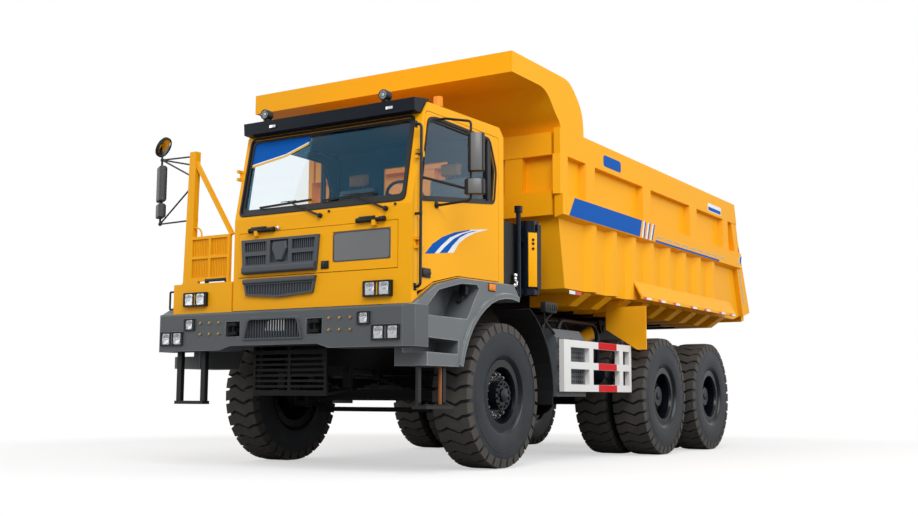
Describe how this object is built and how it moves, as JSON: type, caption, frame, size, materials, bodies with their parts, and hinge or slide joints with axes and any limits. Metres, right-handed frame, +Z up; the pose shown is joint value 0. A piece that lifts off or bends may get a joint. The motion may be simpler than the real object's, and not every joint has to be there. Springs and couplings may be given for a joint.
{
  "type": "mining dump truck",
  "caption": "Rigid mining dump truck with an offset cab, steered front wheels, twin rear wheels and a ribbed tipping body with a guard over the cab.",
  "frame": {"origin": "on the ground, under the middle of the truck's bounding box", "axes": "+Z up, -Y the way the truck drives forwards, +X the truck's left"},
  "size_m": [4.035, 9.5, 4.3469],
  "materials": {
    "cab_yellow": "semi-gloss",
    "bumper_grey": "satin",
    "frame_black": "satin",
    "engine_grey": "rough",
    "guard_white": "semi-gloss",
    "trim_black": "matt",
    "box_grey": "satin",
    "rubber_black": "matt",
    "tyre_rubber": "matt",
    "rim_black": "satin",
    "window_glass": "clear",
    "lamp_glass": "glossy",
    "cab_trim": "matt",
    "bright_rod": "polished"
  },
  "bodies": {
    "chassis": {"access_steps": "trim_black", "air_cleaner": "trim_black", "arch_liners": "rubber_black", "axles": "frame_black", "body_mounts": "frame_black", "bumper": "bumper_grey", "cab_glass": "window_glass", "cab_interior": "cab_trim", "cab_mounts": "frame_black", "cab_shell": "cab_yellow", "cooler_guard": "frame_black", "cooling_box": "trim_black", "deck": "cab_yellow", "driveline": "engine_grey", "fenders": "bumper_grey", "frame": "frame_black", "fuel_tank": "box_grey", "hand_rail": "trim_black", "lamps": "lamp_glass", "lower_grilles": "box_grey", "mirrors_right": "trim_black", "pipes_and_air_tanks": "frame_black", "side_box": "box_grey", "side_guards": "guard_white", "springs": "frame_black", "tow_hooks": "frame_black", "visor": "trim_black"},
    "knuckle_left": {"knuckle_left": "frame_black"},
    "knuckle_right": {"knuckle_right": "frame_black"},
    "tie_rod": {"tie_rod": "frame_black"},
    "front_wheel_left": {"front_tyre_left": "tyre_rubber", "front_rim_left": "rim_black"},
    "front_wheel_right": {"front_tyre_right": "tyre_rubber", "front_rim_right": "rim_black"},
    "rear1_wheels_left": {"rear1_tyres_left": "tyre_rubber", "rear1_rims_left": "rim_black"},
    "rear1_wheels_right": {"rear1_tyres_right": "tyre_rubber", "rear1_rims_right": "rim_black"},
    "rear2_wheels_left": {"rear2_tyres_left": "tyre_rubber", "rear2_rims_left": "rim_black"},
    "rear2_wheels_right": {"rear2_tyres_right": "tyre_rubber", "rear2_rims_right": "rim_black"},
    "door_left": {"door_left": "cab_yellow", "door_glass_left": "window_glass", "mirrors_left": "trim_black"},
    "door_right": {"door_right": "cab_yellow", "door_glass_right": "window_glass"},
    "front_flap": {"front_flap": "cab_yellow", "front_grille": "box_grey"},
    "dump_body": {"bed_floor": "cab_yellow", "bed_side_left": "cab_yellow", "bed_side_right": "cab_yellow", "bed_front": "cab_yellow", "bed_canopy": "cab_yellow", "bed_mudguards": "cab_yellow", "bed_underframe": "cab_yellow"},
    "hoist_barrel_left": {"hoist_barrel_left": "cab_yellow"},
    "hoist_barrel_right": {"hoist_barrel_right": "cab_yellow"},
    "hoist_rod_left": {"hoist_rod_left": "bright_rod"},
    "hoist_rod_right": {"hoist_rod_right": "bright_rod"}
  },
  "joints": [
    {"name": "steer_left", "type": "hinge", "parent": "chassis", "child": "knuckle_left", "pos_m": [1, -2.93, 0.75], "axis": [0, 0, 1], "range_deg": [-30, 30]},
    {"name": "steer_right", "type": "hinge", "parent": "chassis", "child": "knuckle_right", "pos_m": [-1, -2.93, 0.75], "axis": [0, 0, 1], "range_deg": [-30, 30]},
    {"name": "tie_rod_pivot", "type": "hinge", "parent": "knuckle_left", "child": "tie_rod", "pos_m": [1, -2.67, 0.6], "axis": [0, 0, 1], "range_deg": [-30, 30]},
    {"name": "front_wheel_left_spin", "type": "hinge", "parent": "knuckle_left", "child": "front_wheel_left", "pos_m": [1.382, -2.93, 0.75], "axis": [1, 0, 0], "continuous": true},
    {"name": "front_wheel_right_spin", "type": "hinge", "parent": "knuckle_right", "child": "front_wheel_right", "pos_m": [-1.382, -2.93, 0.75], "axis": [1, 0, 0], "continuous": true},
    {"name": "rear1_wheels_left_spin", "type": "hinge", "parent": "chassis", "child": "rear1_wheels_left", "pos_m": [1.415, 0.77, 0.75], "axis": [1, 0, 0], "continuous": true},
    {"name": "rear1_wheels_right_spin", "type": "hinge", "parent": "chassis", "child": "rear1_wheels_right", "pos_m": [-1.415, 0.77, 0.75], "axis": [1, 0, 0], "continuous": true},
    {"name": "rear2_wheels_left_spin", "type": "hinge", "parent": "chassis", "child": "rear2_wheels_left", "pos_m": [1.415, 2.54, 0.75], "axis": [1, 0, 0], "continuous": true},
    {"name": "rear2_wheels_right_spin", "type": "hinge", "parent": "chassis", "child": "rear2_wheels_right", "pos_m": [-1.415, 2.54, 0.75], "axis": [1, 0, 0], "continuous": true},
    {"name": "door_left_hinge", "type": "hinge", "parent": "chassis", "child": "door_left", "pos_m": [1.588, -4.533, 2.575], "axis": [0, 0, -1], "range_deg": [0, 70]},
    {"name": "door_right_hinge", "type": "hinge", "parent": "chassis", "child": "door_right", "pos_m": [-0.638, -4.533, 2.575], "axis": [0, 0, 1], "range_deg": [0, 70]},
    {"name": "front_flap_hinge", "type": "hinge", "parent": "chassis", "child": "front_flap", "pos_m": [0.43, -4.658, 2.39], "axis": [-1, 0, 0], "range_deg": [0, 75]},
    {"name": "bed_tip", "type": "hinge", "parent": "chassis", "child": "dump_body", "pos_m": [0, 3.52, 1.5], "axis": [-1, 0, 0], "range_deg": [0, 45]},
    {"name": "hoist_foot_left", "type": "hinge", "parent": "chassis", "child": "hoist_barrel_left", "pos_m": [0.66, -1.03, 0.9], "axis": [1, 0, 0], "range_deg": [0, 17.3]},
    {"name": "hoist_stroke_left", "type": "slide", "parent": "hoist_barrel_left", "child": "hoist_rod_left", "axis": [0, 0.9499, 0.3127], "range_m": [0, 1.361]},
    {"name": "hoist_foot_right", "type": "hinge", "parent": "chassis", "child": "hoist_barrel_right", "pos_m": [-0.66, -1.03, 0.9], "axis": [1, 0, 0], "range_deg": [0, 17.3]},
    {"name": "hoist_stroke_right", "type": "slide", "parent": "hoist_barrel_right", "child": "hoist_rod_right", "axis": [0, 0.9499, 0.3127], "range_m": [0, 1.361]}
  ],
  "couplings": [
    {"joint": "steer_right", "follows": "steer_left", "ratio": 1},
    {"joint": "tie_rod_pivot", "follows": "steer_left", "ratio": -1},
    {"joint": "hoist_foot_left", "follows": "bed_tip", "ratio": 0.3834},
    {"joint": "hoist_stroke_left", "follows": "bed_tip", "m_per_rad": 1.7297},
    {"joint": "hoist_foot_right", "follows": "bed_tip", "ratio": 0.3834},
    {"joint": "hoist_stroke_right", "follows": "bed_tip", "m_per_rad": 1.7297}
  ]
}
